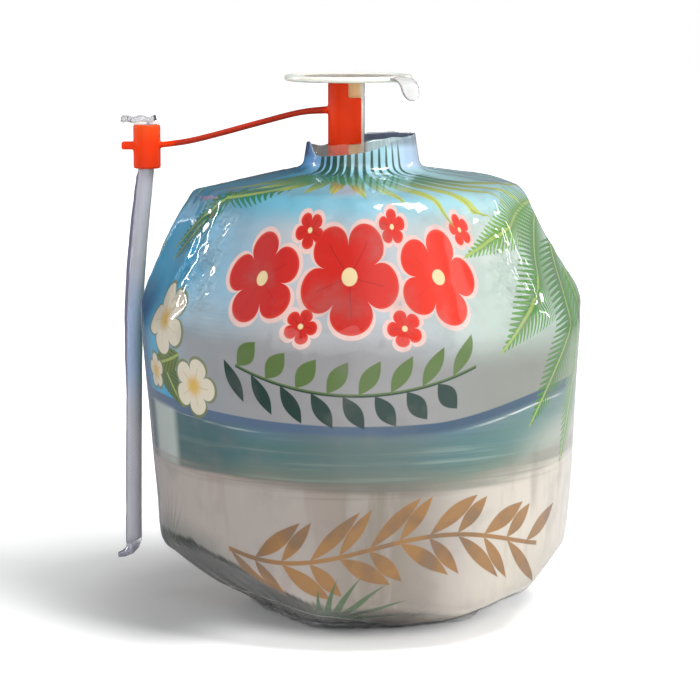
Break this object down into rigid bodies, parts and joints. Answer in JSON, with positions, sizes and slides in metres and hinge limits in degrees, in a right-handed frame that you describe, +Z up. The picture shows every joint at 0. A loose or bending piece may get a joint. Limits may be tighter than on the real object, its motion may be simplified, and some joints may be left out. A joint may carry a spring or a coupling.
{
  "type": "wrapped young coconut",
  "caption": "Knife-trimmed young coconut shrunk in printed film, with an open film collar, a stem under a round lid with a pull tab, and a wrapped straw held on a tether.",
  "frame": {"origin": "middle of the flat foot, on the surface that the coconut stands on", "axes": "+Z up; -Y is the front that the picture shows; +X is the picture's right, and the straw hangs at -X"},
  "size_m": [0.1225, 0.1139, 0.1396],
  "materials": {
    "printed_film": "glossy printed shrink film, tight over the trimmed nut, with fine wrinkles",
    "pale_stem": "pale translucent plastic, smooth",
    "white_lid": "cream white plastic, smooth, with a rounded rim",
    "red_tether": "bright orange-red moulded plastic, satin",
    "wrapped_straw": "pale translucent straw in a tight clear film wrapper"
  },
  "bodies": {
    "root": {"wrapped_coconut": "printed_film", "film_collar": "printed_film", "spout_stem": "pale_stem", "lid_with_tab": "white_lid", "straw_tether": "red_tether", "wrapped_straw": "wrapped_straw"}
  },
  "joints": []
}
